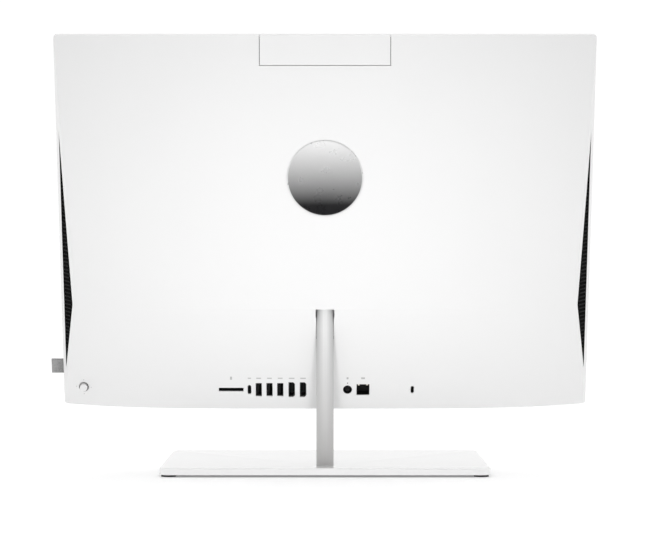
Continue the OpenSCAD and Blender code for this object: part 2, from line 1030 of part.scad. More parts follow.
module wireless_card() {
    color(steel_grey)
        on_panel() {
            layer(board_back + 1.6, board_back + 2.4)
                area(142.5, 172.8, 84, 106);
            layer(board_back + 2.3, board_back + 3.8)
                area(147, 168, 86.5, 103.5);
        }
}

module coin_cell() {
    color([0.78, 0.78, 0.78])
        on_panel()
            layer(board_back, board_back + 3.2)
                translate([146, 135])
                    circle(10);
}

drive_right = -216;
drive_left = -116;
drive_low = 130;
drive_high = 200;
drive_front = chassis_back + 1;

module hard_drive() {
    color([0.75, 0.75, 0.76])
        on_panel() {
            layer(drive_front, drive_front + 5.6)
                area(drive_right, drive_left, drive_low, drive_high);
            layer(drive_front + 5.5, drive_front + 7)
                translate([(drive_right + drive_left) / 2, (drive_low + drive_high) / 2])
                    rounded(94, 64, 6);
        }
}

// Folded tray with two side walls and four fixing tabs
module drive_bracket() {
    color(steel_grey)
        on_panel() {
            layer(chassis_back, drive_front - fit) {
                area(drive_right - 2, drive_left + 2, drive_low - 2, drive_high + 2);
                for (x = [drive_right + 8, drive_left - 16])
                    area(x, x + 8, drive_low - 10, drive_high + 10);
            }
            for (w = [drive_low - 2, drive_high + 1])
                layer(chassis_back, drive_front + 4)
                    area(drive_right, drive_left, w, w + 1);
        }
}

// Shallow sealed box with an oval driver facing the front
module speaker() {
    mid_x = (speaker_in + speaker_out) / 2;
    mid_h = (speaker_low + speaker_high) / 2;
    color(soft_black)
        on_panel() {
            difference() {
                layer(4, 15)
                    area(speaker_in, speaker_out, speaker_low, speaker_high);
                layer(5.2, 13.8)
                    area(speaker_in + 1.2, speaker_out - 1.2, speaker_low + 1.2, speaker_high - 1.2);
                layer(3, 6)
                    translate([mid_x, mid_h])
                        rounded(58, 30, 14);
            }
            translate([mid_x, 0, mid_h])
                difference() {
                    layer(4.2, 13)
                        rounded(57.6, 29.6, 13.8);
                    layer(4, 5.4)
                        rounded(50, 22, 10);
                }
        }
}

module speaker_left() {
    speaker();
}

module speaker_right() {
    mirror([1, 0, 0])
        speaker();
}

module antennas() {
    color(copper)
        on_panel()
            both_sides()
                layer(frame_depth + 0.4, frame_depth + 1)
                    area(120, 168, 350, 372);
}

// ---------------------------------------------------------------- sockets
// Every socket stands on the board and faces the rear
module card_reader() {
    color([0.6, 0.6, 0.6])
        on_panel()
            translate([card_x, 0, port_h])
                difference() {
                    layer(board_back, port_back)
                        square([28, 6.4], center = true);
                    layer(board_back + 1.5, port_back + 1)
                        square([24.4, 2.6], center = true);
                }
}

module usb_c_port() {
    color(steel_grey)
        on_panel()
            translate([usb_c_x, 0, port_h])
                difference() {
                    layer(board_back, port_back)
                        rounded(3.3, 9, 1.6);
                    layer(board_back - 1, port_back + 1)
                        rounded(2.6, 8.3, 1.25);
                }
}

module usb_a_ports() {
    color(steel_grey)
        on_panel()
            difference() {
                layer(board_back, port_back)
                    usb_a_places()
                        square([5.8, 13.3], center = true);
                layer(board_back - 1, port_back + 1)
                    usb_a_places()
                        square([5.1, 12.5], center = true);
            }
}

module video_ports() {
    color(steel_grey)
        on_panel()
            difference() {
                layer(board_back, port_back)
                    video_places()
                        mirror([1, 0])
                            video_outline(5.5, 15.1, 1.6);
                layer(board_back - 1, port_back + 1)
                    video_places()
                        mirror([1, 0])
                            video_outline(4.6, 14.2, 1.5);
            }
}

// Plastic middles of the metal-clad sockets: a floor and a contact tongue in each
module port_cores() {
    color(soft_black)
        on_panel() {
            layer(board_back, board_back + 1.5) {
                usb_a_places()
                    square([4.9, 12.3], center = true);
                video_places()
                    square([4.2, 10.6], center = true);
                translate([usb_c_x, port_h])
                    square([2.3, 6.4], center = true);
            }
            layer(board_back + 1, port_back - 1.5) {
                usb_a_places()
                    translate([1, 0])
                        square([1.9, 11.2], center = true);
                video_places()
                    square([1.3, 10.4], center = true);
                translate([usb_c_x, port_h])
                    square([0.7, 6.2], center = true);
            }
        }
}

// Round power socket: a ring-shaped hollow around a central post with a fine hole
dc_post_r = 2.4;
dc_hole_r = 4;
dc_floor = 18.5;
dc_face = 29.4;

module dc_jack() {
    color(soft_black)
        on_panel()
            translate([dc_x, 0, port_h]) {
                difference() {
                    union() {
                        layer(board_back, port_back - 6)
                            square([10, 12], center = true);
                        layer(board_back, dc_face)
                            circle(4.5);
                    }
                    layer(dc_floor, dc_face + 1)
                        circle(dc_hole_r);
                }
                difference() {
                    layer(dc_floor - 1, dc_face - 1)
                        circle(dc_post_r);
                    layer(dc_floor + 2, dc_face)
                        circle(0.6);
                }
            }
}

module power_light() {
    color([0.9, 0.9, 0.9])
        on_panel()
            translate([dc_x, 0, light_h])
                layer(board_back, back_depth(dc_x, light_h) - 0.1)
                    circle(0.6);
}

module lan_port() {
    color([0.55, 0.55, 0.56])
        on_panel()
            translate([lan_x, 0, port_h])
                difference() {
                    layer(board_back, port_back)
                        translate([0, 0.8])
                            square([15.4, 14.4], center = true);
                    layer(board_back + 1.2, port_back + 1)
                        lan_mouth();
                }
}

// Steel plate behind the lock slot, on a leg that stands on the chassis
module lock_plate() {
    color(dark_steel)
        on_panel()
            difference() {
                union() {
                    layer(port_back - 2, port_back)
                        area(lock_x - 11, lock_x + 9, port_h - 6, port_h + 8);
                    layer(chassis_back, port_back)
                        area(lock_x - 11, lock_x - 9, port_h - 6, port_h + 8);
                }
                layer(port_back - 5, port_back + 1)
                    translate([lock_x, port_h])
                        rounded(3.1, 7.3, 1.5);
            }
}

// ---------------------------------------------------------------- badge and marks
module badge() {
    color(badge_grey)
        on_panel()
            on_back(0, badge_h)
                translate([0, 0, -0.55])
                    difference() {
                        cylinder(r = badge_r, h = 0.75);
                        translate([0, 0, 0.6])
                            cylinder(r = badge_r - 2.5, h = 1);
                    }
}

module mark(x, w, size_x, size_w) {
    on_back(x, w)
        translate([-size_x / 2, -size_w / 2, 0.03])
            cube([size_x, size_w, 0.07]);
}

// Plain printed marks above the sockets and four dots around the control stick
module port_marks() {
    color([0.7, 0.7, 0.7])
        on_panel() {
            mark(card_x, marks_h, 2, 3.4);
            for (i = [-1 : 1])
                mark(usb_a_x + i * usb_a_pitch, marks_h, 4.8, 1.1);
            mark(usb_c_x, marks_h, 3.2, 1.1);
            for (i = [-1, 1])
                mark(video_x + i * video_pitch / 2, marks_h, 5.6, 1.1);
            mark(dc_x, marks_h, 2, 2.2);
            mark(lan_x, marks_h, 3.8, 1.9);
            for (i = [0 : 3])
                on_back(stick_x + 7.6 * cos(90 * i), stick_h + 7.6 * sin(90 * i))
                    translate([0, 0, 0.03])
                        cylinder(r = 0.5, h = 0.07);
        }
}

// ---------------------------------------------------------------- pop-up camera
camera_front = frame_depth + 0.6;
camera_low = body_h - camera_h;
slide_thick = 0.7;
slide_low = camera_low - 30;
lens_h = body_h - 9;

// Two angle strips that hold the camera's slide plate
module camera_rails() {
    side = camera_w / 2 + 2;
    color(dark_steel)
        on_panel()
            both_sides() {
                layer(camera_front - 0.4, camera_front + 1.8)
                    area(side + fit, side + 2.2, slide_low - 4, camera_low + 10);
                layer(camera_front + slide_thick + fit, camera_front + 1.8)
                    area(side - 1.4, side + 0.5, slide_low - 4, camera_low - 4);
            }
}

module camera_housing() {
    half = camera_w / 2;
    color(satin_white)
        on_panel()
            difference() {
                union() {
                    translate([-half, 0, 0])
                        rotate([90, 0, 90])
                            linear_extrude(camera_w)
                                polygon([
                                    [camera_front, camera_low],
                                    [mid_depth(camera_low), camera_low],
                                    [top_depth, body_h],
                                    [camera_front, body_h]
                                ]);
                    layer(camera_front, camera_front + slide_thick)
                        area(-half - 2, half + 2, slide_low, camera_low - 1);
                    layer(camera_front, camera_front + slide_thick)
                        area(-half, half, camera_low - 2, camera_low + 1);
                }
                layer(camera_front - 1, camera_front + 0.9)
                    translate([0, lens_h])
                        rounded(90.2, 12.2, 6);
                layer(camera_front, camera_front + 2.8)
                    translate([0, lens_h])
                        square([26, 9], center = true);
            }
}

module camera_window() {
    color(soft_black)
        on_panel()
            layer(camera_front, camera_front + 0.8)
                translate([0, lens_h])
                    rounded(90, 12, 5.9);
}

module camera_module() {
    color([0.12, 0.12, 0.14])
        on_panel() {
            layer(camera_front + 0.9, camera_front + 2)
                translate([0, lens_h])
                    circle(3);
            layer(camera_front + 1.9, camera_front + 2.7)
                translate([0, lens_h])
                    square([25, 8.4], center = true);
        }
}

// ---------------------------------------------------------------- control stick
// A spring-loaded plunger carries a gimbal ring, and the ring carries the stick
stick_pivot = 11.6;
axle_r = 0.4;

module at_stick() {
    on_panel()
        translate([stick_x, 0, stick_h])
            children();
}

module stick_housing() {
    color(soft_black)
        at_stick()
            difference() {
                layer(chassis_back, 12.6)
                    rounded(10.4, 10.4, 1);
                layer(chassis_back + 0.5, 14)
                    circle(4.1);
            }
}

module stick_plunger() {
    color([0.3, 0.3, 0.3])
        at_stick()
            difference() {
                layer(chassis_back + 1.2, 12.4)
                    circle(4);
                layer(chassis_back + 1.7, 13)
                    circle(3.3);
                translate([0, stick_pivot, 0])
                    rotate([0, 90, 0])
                        cylinder(r = axle_r + 0.05, h = 10, center = true);
            }
}

module stick_gimbal() {
    color(steel_grey)
        at_stick() {
            difference() {
                layer(stick_pivot - 0.6, stick_pivot + 0.6)
                    circle(2.9);
                layer(stick_pivot - 1, stick_pivot + 1)
                    circle(2);
                translate([0, stick_pivot, 0])
                    cylinder(r = axle_r + 0.05, h = 10, center = true);
            }
            both_sides()
                translate([2.6, stick_pivot, 0])
                    rotate([0, 90, 0])
                        cylinder(r = axle_r, h = 1.2);
        }
}

module stick_cap() {
    cap_r = 3.8;
    cap_back = back_depth(stick_x, stick_h) + 4.4;
    color(satin_white)
        at_stick() {
            layer(stick_pivot - 0.7, cap_back - 2)
                circle(1.4);
            translate([0, stick_pivot, 0])
                cylinder(r = axle_r, h = 5.4, center = true);
            layer(back_depth(stick_x, stick_h) - 1.2, cap_back - 0.8)
                circle(cap_r);
            translate([0, cap_back - 0.8, 0])
                rotate([90, 0, 0])
                    rotate_extrude()
                        translate([cap_r - 0.8, 0])
                            circle(0.8);
            layer(cap_back - 1, cap_back)
                circle(cap_r - 0.8);
        }
}

base_cover();
base_weight();
base_feet();
base_screws();
neck_foot();
neck_bar();
hinge_barrel();
hinge_pin();
friction_washers();
hinge_nuts();
hinge_bracket_left();
hinge_bracket_right();
bracket_screws();
display_frame();
screen_glass();
lcd_panel();
speaker_fabric();
speaker_carrier();
fabric_tab();
chassis_plate();
rear_cover();
side_vent_left();
side_vent_right();
motherboard();
board_screws();
processor();
heat_sink();
heat_pipes();
fin_stack();
fan_housing();
fan_rotor();
memory_socket();
memory_modules();
ssd_module();
wireless_card();
coin_cell();
hard_drive();
drive_bracket();
speaker_left();
speaker_right();
antennas();
card_reader();
usb_c_port();
usb_a_ports();
video_ports();
port_cores();
dc_jack();
power_light();
lan_port();
lock_plate();
badge();
port_marks();
camera_rails();
camera_housing();
camera_window();
camera_module();
stick_housing();
stick_plunger();
stick_gimbal();
stick_cap();
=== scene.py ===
"""Looks for the all in one computer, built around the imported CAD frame."""

import json
import math

import bpy
import numpy as np
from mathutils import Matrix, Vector


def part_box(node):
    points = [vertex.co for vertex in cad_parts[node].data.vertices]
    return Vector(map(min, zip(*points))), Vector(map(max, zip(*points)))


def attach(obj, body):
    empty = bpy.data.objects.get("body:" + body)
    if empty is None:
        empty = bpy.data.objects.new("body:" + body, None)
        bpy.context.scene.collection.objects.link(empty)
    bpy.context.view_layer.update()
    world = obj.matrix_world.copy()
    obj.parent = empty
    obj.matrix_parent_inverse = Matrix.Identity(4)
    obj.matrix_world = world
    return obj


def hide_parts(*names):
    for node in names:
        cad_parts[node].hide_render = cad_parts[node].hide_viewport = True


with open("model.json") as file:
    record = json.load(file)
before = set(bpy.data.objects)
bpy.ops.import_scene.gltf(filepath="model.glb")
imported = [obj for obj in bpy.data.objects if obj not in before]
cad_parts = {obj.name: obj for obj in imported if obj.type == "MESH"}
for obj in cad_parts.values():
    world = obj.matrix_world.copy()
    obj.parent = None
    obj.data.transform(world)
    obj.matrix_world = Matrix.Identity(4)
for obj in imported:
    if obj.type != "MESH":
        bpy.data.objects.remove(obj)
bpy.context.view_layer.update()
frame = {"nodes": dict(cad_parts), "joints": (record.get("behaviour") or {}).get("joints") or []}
MM = 0.001

# ------------------------------------------------------------------ panel frame
# Every place on the leaning body is given as (x, n, w) from the hinge axis: x across,
# n towards the rear and w up the body, all in metres.
joints = {j["name"]: j for j in frame["joints"]}
HINGE = Vector(joints["tilt_hinge"]["pos_m"])
UP_PANEL = Vector(joints["camera_lift"]["axis"])
OUT_PANEL = Vector(joints["fan_spin"]["axis"])


def on_panel(x, n, w):
    """A place on the leaning body, as a point in the shared frame."""
    return HINGE + Vector((x, 0, 0)) + OUT_PANEL * n + UP_PANEL * w


def node_points(name):
    """Every vertex of a CAD node, in the shared frame."""
    mesh = frame["nodes"][name].data
    co = np.empty(len(mesh.vertices) * 3)
    mesh.vertices.foreach_get("co", co)
    return co.reshape(-1, 3)


def panel_points(name):
    """The (x, n, w) of every vertex of a CAD node."""
    rel = node_points(name) - np.array(HINGE)
    return np.stack([rel[:, 0], rel @ np.array(OUT_PANEL), rel @ np.array(UP_PANEL)], 1)


def panel_box(name):
    """Lowest and highest (x, n, w) of a CAD node."""
    local = panel_points(name)
    return local.min(0), local.max(0)


# ------------------------------------------------------------------ material nodes
class Maker:
    """A material under construction, with short ways to add the nodes that it needs."""

    def __init__(self, name):
        self.mat = bpy.data.materials.new(name)
        self.mat.use_nodes = True
        self.tree = self.mat.node_tree
        self.shader = self.tree.nodes["Principled BSDF"]
        self.place = self.add("ShaderNodeTexCoord").outputs["Object"]

    def add(self, kind, **values):
        node = self.tree.nodes.new(kind)
        for key, value in values.items():
            setattr(node, key, value)
        return node

    def link(self, a, b):
        self.tree.links.new(a, b)

    def put(self, **values):
        """Constants straight onto the shader's own sockets."""
        for key, value in values.items():
            name = key.replace("_", " ")
            socket = next(s for s in self.shader.inputs if s.name.lower() == name.lower())
            socket.default_value = value if not isinstance(value, tuple) else (*value, 1)

    def scaled(self, sx, sy, sz):
        """Object coordinates stretched along each axis."""
        stretch = self.add("ShaderNodeMapping")
        stretch.inputs["Scale"].default_value = (sx, sy, sz)
        self.link(self.place, stretch.inputs["Vector"])
        return stretch.outputs[0]

    def noise(self, scale, detail=3.0, rough=0.5, coords=None):
        """Smooth noise about 0.5, with scale cells to the metre."""
        n = self.add("ShaderNodeTexNoise")
        n.inputs["Scale"].default_value = scale
        n.inputs["Detail"].default_value = detail
        n.inputs["Roughness"].default_value = rough
        self.link(coords or self.place, n.inputs["Vector"])
        return n.outputs[0]

    def ramp(self, value, low, high, dark, light):
        """A colour between dark at low and light at high."""
        r = self.add("ShaderNodeValToRGB")
        r.color_ramp.elements[0].position = low
        r.color_ramp.elements[1].position = high
        r.color_ramp.elements[0].color = (*dark, 1)
        r.color_ramp.elements[1].color = (*light, 1)
        self.link(value, r.inputs[0])
        return r.outputs[0]

    def span(self, value, to_low, to_high, low=0.3, high=0.7):
        """A number from to_low at low to to_high at high, held beyond them."""
        m = self.add("ShaderNodeMapRange")
        for key, v in (("From Min", low), ("From Max", high), ("To Min", to_low), ("To Max", to_high)):
            m.inputs[key].default_value = v
        self.link(value, m.inputs["Value"])
        return m.outputs["Result"]

    def math(self, op, a, b=None):
        """One sum on numbers or sockets."""
        m = self.add("ShaderNodeMath", operation=op)
        for i, v in enumerate((a, b)):
            if v is None:
                continue
            if isinstance(v, (int, float)):
                m.inputs[i].default_value = v
            else:
                self.link(v, m.inputs[i])
        return m.outputs[0]

    def mix(self, factor, a, b):
        """Colour a where factor is 0 and b where it is 1."""
        m = self.add("ShaderNodeMix", data_type="RGBA")
        self.link(factor, m.inputs["Factor"])
        for socket, v in ((m.inputs[6], a), (m.inputs[7], b)):
            if isinstance(v, tuple):
                socket.default_value = (*v, 1)
            else:
                self.link(v, socket)
        return m.outputs[2]

    def along(self, axis):
        """Distance of a point from the origin along one direction."""
        d = self.add("ShaderNodeVectorMath", operation="DOT_PRODUCT")
        d.inputs[1].default_value = tuple(axis)
        self.link(self.place, d.inputs[0])
        return d.outputs["Value"]

    def bump(self, height, strength, distance):
        """Fine relief from a height, through the shader's normal."""
        b = self.add("ShaderNodeBump")
        b.inputs["Strength"].default_value = strength
        b.inputs["Distance"].default_value = distance
        self.link(height, b.inputs["Height"])
        self.link(b.outputs[0], self.shader.inputs["Normal"])

    def colour(self, socket):
        self.link(socket, self.shader.inputs["Base Color"])

    def rough(self, socket):
        self.link(socket, self.shader.inputs["Roughness"])


def grey(v):
    """A neutral colour."""
    return (v, v, v)


def plastic(name, tone, rough, coat=0.0, coat_rough=0.1, grain=1400, depth=0.03, spread=0.02, spec=0.5):
    """Moulded plastic: slow colour drift, fine spark-eroded grain and uneven gloss."""
    m = Maker(name)
    slow = m.noise(9, 2)
    fine = m.noise(grain, 2, 0.6)
    tone = tone if isinstance(tone, tuple) else grey(tone)
    dark = tuple(c * (1 - spread) for c in tone)
    light = tuple(min(1, c * (1 + spread)) for c in tone)
    m.colour(m.ramp(slow, 0.3, 0.7, dark, light))
    m.rough(m.span(m.noise(60, 4), rough * 0.9, rough * 1.1))
    m.bump(fine, depth, 0.0004)
    m.put(coat_weight=coat, coat_roughness=coat_rough, specular_ior_level=spec)
    return m.mat


def metal(name, tone, rough, streak):
    """Brushed metal: long streaks along one direction, in colour, gloss and relief."""
    m = Maker(name)
    lines = m.noise(1, 4, 0.65, m.scaled(*streak))
    cloud = m.noise(22, 3)
    tone = tone if isinstance(tone, tuple) else grey(tone)
    dark = tuple(c * 0.9 for c in tone)
    light = tuple(min(1, c * 1.05) for c in tone)
    m.colour(m.ramp(lines, 0.3, 0.7, dark, light))
    m.rough(m.math("ADD", m.span(lines, rough * 0.8, rough), m.span(cloud, 0, rough * 0.25)))
    m.bump(lines, 0.06, 0.0002)
    m.put(metallic=1.0)
    return m.mat


def sheet_steel(name, tone, rough):
    """Zinc-plated steel with its crystal pattern."""
    m = Maker(name)
    v = m.add("ShaderNodeTexVoronoi")
    v.inputs["Scale"].default_value = 130
    m.link(m.place, v.inputs["Vector"])
    m.colour(m.ramp(v.outputs["Color"], 0.1, 0.9, grey(tone * 0.86), grey(tone * 1.08)))
    m.rough(m.span(v.outputs["Distance"], rough * 0.8, rough * 1.2, 0, 0.006))
    m.bump(m.noise(700, 3), 0.05, 0.0003)
    m.put(metallic=1.0)
    return m.mat


def circuit(name, tone, line):
    """Solder mask over copper tracks, with paler tracks and small pads."""
    m = Maker(name)
    brick = m.add("ShaderNodeTexBrick", offset=0.37, squash=1.6)
    for key, v in (("Scale", 1.0), ("Mortar Size", 0.0004), ("Brick Width", 0.0062), ("Row Height", 0.0021)):
        brick.inputs[key].default_value = v
    brick.inputs["Color1"].default_value = (*tone, 1)
    brick.inputs["Color2"].default_value = (*(c * 0.8 for c in tone), 1)
    brick.inputs["Mortar"].default_value = (*line, 1)
    turn = m.add("ShaderNodeMapping")
    turn.inputs["Rotation"].default_value = (math.radians(90), 0, 0)
    m.link(m.place, turn.inputs["Vector"])
    m.link(turn.outputs[0], brick.inputs["Vector"])
    dots = m.add("ShaderNodeTexVoronoi")
    dots.inputs["Scale"].default_value = 240
    m.link(m.place, dots.inputs["Vector"])
    pad = m.span(dots.outputs["Distance"], 1, 0, 0.0009, 0.0012)
    m.colour(m.mix(pad, brick.outputs["Color"], (0.45, 0.36, 0.18)))
    m.rough(m.span(m.noise(80, 3), 0.3, 0.45))
    m.bump(brick.outputs["Fac"], 0.15, 0.0002)
    m.put(coat_weight=0.3)
    return m.mat


def woven(name, dark, light, pitch, depth=0.6, painted_shade_from=None, painted_shade_to=None):
    """Plain weave in the plane of the body; painted shade can darken the colour towards the body's middle,
    across x.
    """
    m = Maker(name)
    across, up = m.along((1, 0, 0)), m.along(UP_PANEL)
    waves = []
    for s in (across, up):
        waves.append(m.math("ABSOLUTE", m.math("SINE", m.math("MULTIPLY", s, math.pi / pitch))))
    cell_a = m.math("SINE", m.math("MULTIPLY", across, math.pi / pitch))
    cell_b = m.math("SINE", m.math("MULTIPLY", up, math.pi / pitch))
    over = m.math("GREATER_THAN", m.math("MULTIPLY", cell_a, cell_b), 0.0)
    thread = m.add("ShaderNodeMix", data_type="FLOAT")
    m.link(over, thread.inputs["Factor"])
    m.link(waves[0], thread.inputs[2])
    m.link(waves[1], thread.inputs[3])
    height = thread.outputs[0]
    fuzz = m.noise(2600, 3, 0.7)
    melange = m.noise(420, 3, 0.7)
    tone = m.math("ADD", m.math("MULTIPLY", height, 0.55), m.math("MULTIPLY", melange, 0.6))
    colour = m.ramp(tone, 0.25, 0.85, dark, light)
    # Painted shade: the weave darkens to six tenths of its colour towards the body's middle, where the
    # ribbon enters the body
    if painted_shade_from is not None:
        out = m.span(m.math("ABSOLUTE", across), 0, 1, painted_shade_from, painted_shade_to)
        painted_shade_tones = [tuple(c * 0.6 for c in colour_end) for colour_end in (dark, light)]
        painted_shade_weave = m.ramp(tone, 0.25, 0.85, *painted_shade_tones)
        colour = m.mix(out, painted_shade_weave, colour)
    m.colour(colour)
    m.bump(m.math("ADD", height, m.math("MULTIPLY", fuzz, 0.3)), depth, 0.0003)
    m.rough(m.span(fuzz, 0.8, 0.98))
    m.put(sheen_weight=0.25, specular_ior_level=0.2)
    return m.mat


WHITE = plastic("satin_white", 0.72, 0.36, spec=0.5, depth=0.02, spread=0.004)
GLOSS_WHITE = plastic("gloss_white", 0.78, 0.16, coat=1.0, coat_rough=0.03, depth=0.008, spread=0.004)
BLACK = plastic("soft_black", 0.018, 0.5, depth=0.06, spread=0.15)
VENT_BLACK = plastic("vent_black", 0.002, 0.9, depth=0.08, spread=0.2, spec=0.08)
DUST_MESH = woven("dust_mesh", grey(0.001), grey(0.004), 0.0005, depth=0.3)
SOFT_GREY = plastic("light_grey", 0.55, 0.45, depth=0.03)
DARK = plastic("charcoal", 0.05, 0.45, depth=0.06, spread=0.1)
RUBBER = plastic("rubber", 0.03, 0.75, depth=0.12, grain=900, spread=0.15, spec=0.3)
PRINT = plastic("printed_grey", 0.42, 0.5, depth=0.02, spread=0.05)
LIGHT_PIPE = plastic("light_pipe", 0.16, 0.2, coat=0.5, coat_rough=0.05)
PALE_LENS = plastic("pale_lens", (0.80, 0.76, 0.64), 0.3, coat=0.5, coat_rough=0.05)
CAST = plastic("painted_iron", 0.09, 0.6, depth=0.3, grain=500, spread=0.15)
STEEL = metal("bright_steel", 0.60, 0.32, (500, 500, 500))
DARK_STEEL = metal("dark_steel", 0.28, 0.42, (500, 500, 500))
PORT_STEEL = metal("port_steel", 0.07, 0.5, (700, 30, 700))
PORT_BLACK = plastic("port_black", 0.006, 0.55, depth=0.05, spread=0.2, spec=0.25)
COPPER = metal("copper", (0.72, 0.38, 0.22), 0.3, (60, 700, 700))
GOLD = metal("copper_foil", (0.62, 0.45, 0.22), 0.35, (60, 700, 700))
ALUMINIUM = metal("aluminium", 0.74, 0.34, (60, 700, 700))
ZINC = sheet_steel("zinc_plate", 0.55, 0.35)
BOARD = circuit("board_green", (0.012, 0.07, 0.04), (0.03, 0.14, 0.08))
BOARD_DARK = circuit("board_dark", (0.01, 0.035, 0.05), (0.03, 0.09, 0.1))
CLOTH = woven("speaker_cloth", grey(0.07), grey(0.30), 0.0007)
# The ribbon's colour carries painted shade where it meets the body
RIBBON = woven("ribbon", grey(0.13), grey(0.44), 0.0006, painted_shade_from=0.2675, painted_shade_to=0.2785)


def screen_glass_material():
    """Black glass: a near-black printed border around the slightly paler picture area."""
    m = Maker("screen_glass")
    lo, hi = panel_box("lcd_panel")
    mid_w = HINGE.dot(UP_PANEL) + (lo[2] + hi[2]) / 2
    border = 5 * MM
    inside = []
    across = m.along((1, 0, 0))
    up = m.math("SUBTRACT", m.along(UP_PANEL), mid_w)
    for value, half in ((across, hi[0]), (up, (hi[2] - lo[2]) / 2)):
        edge = half - border
        inside.append(m.span(m.math("ABSOLUTE", value), 1, 0, edge - 0.0003, edge + 0.0003))
    mask = m.math("MULTIPLY", *inside)
    haze = m.ramp(m.noise(14, 2), 0.3, 0.7, (0.011, 0.012, 0.014), (0.014, 0.015, 0.018))
    m.colour(m.mix(mask, (0.004, 0.004, 0.004), haze))
    m.rough(m.span(m.noise(40, 4), 0.04, 0.075))
    m.put(specular_ior_level=0.4)
    return m.mat


def badge_material():
    """Satin disc with a fine grain and a pale rim; a painted reflection makes it pale at its upper edge and
    near black below.
    """
    m = Maker("polished_badge")
    lo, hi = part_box("badge")
    centre = (lo + hi) / 2
    half = (hi.z - lo.z) / 2
    shift = m.add("ShaderNodeVectorMath", operation="SUBTRACT")
    m.link(m.place, shift.inputs[0])
    shift.inputs[1].default_value = tuple(centre)
    length = m.add("ShaderNodeVectorMath", operation="LENGTH")
    m.link(shift.outputs[0], length.inputs[0])
    away = length.outputs["Value"]
    # Painted reflection: the face's colour goes from near black at the bottom to pale grey at the top
    painted_reflection_fade = m.span(m.math("SUBTRACT", m.along((0, 0, 1)), centre.z), 0, 1, -half, half)
    painted_reflection_face = m.ramp(painted_reflection_fade, 0.15, 0.95, (0.012, 0.012, 0.013), (0.72, 0.72, 0.72))
    rim = m.span(away, 0, 1, half - 0.0011, half - 0.0008)
    m.colour(m.mix(rim, painted_reflection_face, grey(0.62)))
    m.rough(m.span(m.noise(90, 3), 0.26, 0.34))
    m.bump(m.noise(1400, 2, 0.6), 0.004, 0.0004)
    m.put(metallic=0.35, coat_weight=0.2, coat_roughness=0.1)
    return m.mat


# Tone of the neck at its top, and its darker tone at the bottom, which is painted shade
NECK_TOP = 0.86
NECK_PAINTED_SHADE = 0.52


def neck_material():
    """Satin steel brushed along its length; painted shade darkens it towards the base and towards its side
    edges.
    """
    m = Maker("satin_steel")
    lo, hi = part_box("neck_bar")
    lines = m.noise(1, 4, 0.65, m.scaled(900, 900, 14))
    height = m.span(m.along((0, 0, 1)), 0, 1, lo.z, hi.z - 0.02)
    pale = m.ramp(lines, 0.3, 0.7, (NECK_TOP * 0.96,) * 3, (NECK_TOP,) * 3)
    painted_shade_tones = m.ramp(lines, 0.3, 0.7, (0.97 * NECK_PAINTED_SHADE, 0.96 * NECK_PAINTED_SHADE, 0.95 * NECK_PAINTED_SHADE),
                  (NECK_PAINTED_SHADE, 0.99 * NECK_PAINTED_SHADE, 0.98 * NECK_PAINTED_SHADE))
    # Painted shade: the neck darkens by up to half towards its side edges, most near its top
    across = m.math("ABSOLUTE", m.along((1, 0, 0)))
    edge = m.span(across, 0, 1, 0.0015, hi.x)
    painted_edge_shade = m.math("SUBTRACT", 1.0, m.math("MULTIPLY", m.math("MULTIPLY", edge, height), 0.5))
    shade = m.add("ShaderNodeVectorMath", operation="SCALE")
    m.link(m.mix(height, painted_shade_tones, pale), shade.inputs[0])
    m.link(painted_edge_shade, shade.inputs["Scale"])
    m.colour(shade.outputs[0])
    m.rough(m.math("ADD", m.span(lines, 0.44, 0.5), m.span(m.noise(22, 3), 0, 0.06)))
    m.bump(lines, 0.05, 0.0002)
    m.put(metallic=0.5)
    return m.mat


SATIN_STEEL = neck_material()
GLASS = screen_glass_material()
BADGE = badge_material()

FINISHES = {
    WHITE: ["display_frame", "rear_cover", "camera_housing", "stick_cap"],
    GLOSS_WHITE: ["base_cover"],
    BLACK: [
        "speaker_carrier", "fan_housing", "memory_socket", "speaker_left", "speaker_right",
        "camera_module",
    ],
    VENT_BLACK: ["side_vent_left", "side_vent_right"],
    SOFT_GREY: ["stick_housing", "stick_plunger"],
    PORT_BLACK: ["port_cores", "dc_jack", "card_reader", "lan_port"],
    DARK: ["fan_rotor", "lcd_panel"],
    RUBBER: ["base_feet"],
    PRINT: ["port_marks"],
    LIGHT_PIPE: ["power_light"],
    CAST: ["base_weight", "neck_foot"],
    SATIN_STEEL: ["neck_bar", "hinge_barrel"],
    STEEL: [
        "hinge_pin", "friction_washers", "hinge_nuts", "bracket_screws", "board_screws",
        "coin_cell", "stick_gimbal", "base_screws",
    ],
    DARK_STEEL: ["lock_plate", "camera_rails"],
    PORT_STEEL: ["usb_c_port", "usb_a_ports", "video_ports"],
    COPPER: ["heat_sink", "heat_pipes"],
    GOLD: ["antennas"],
    ALUMINIUM: ["fin_stack", "hard_drive", "wireless_card"],
    ZINC: ["chassis_plate", "hinge_bracket_left", "hinge_bracket_right", "drive_bracket"],
    BOARD: ["motherboard", "memory_modules"],
    BOARD_DARK: ["processor", "ssd_module"],
    CLOTH: ["speaker_fabric"],
    RIBBON: ["fabric_tab"],
    GLASS: ["screen_glass", "camera_window"],
    BADGE: ["badge"],
}


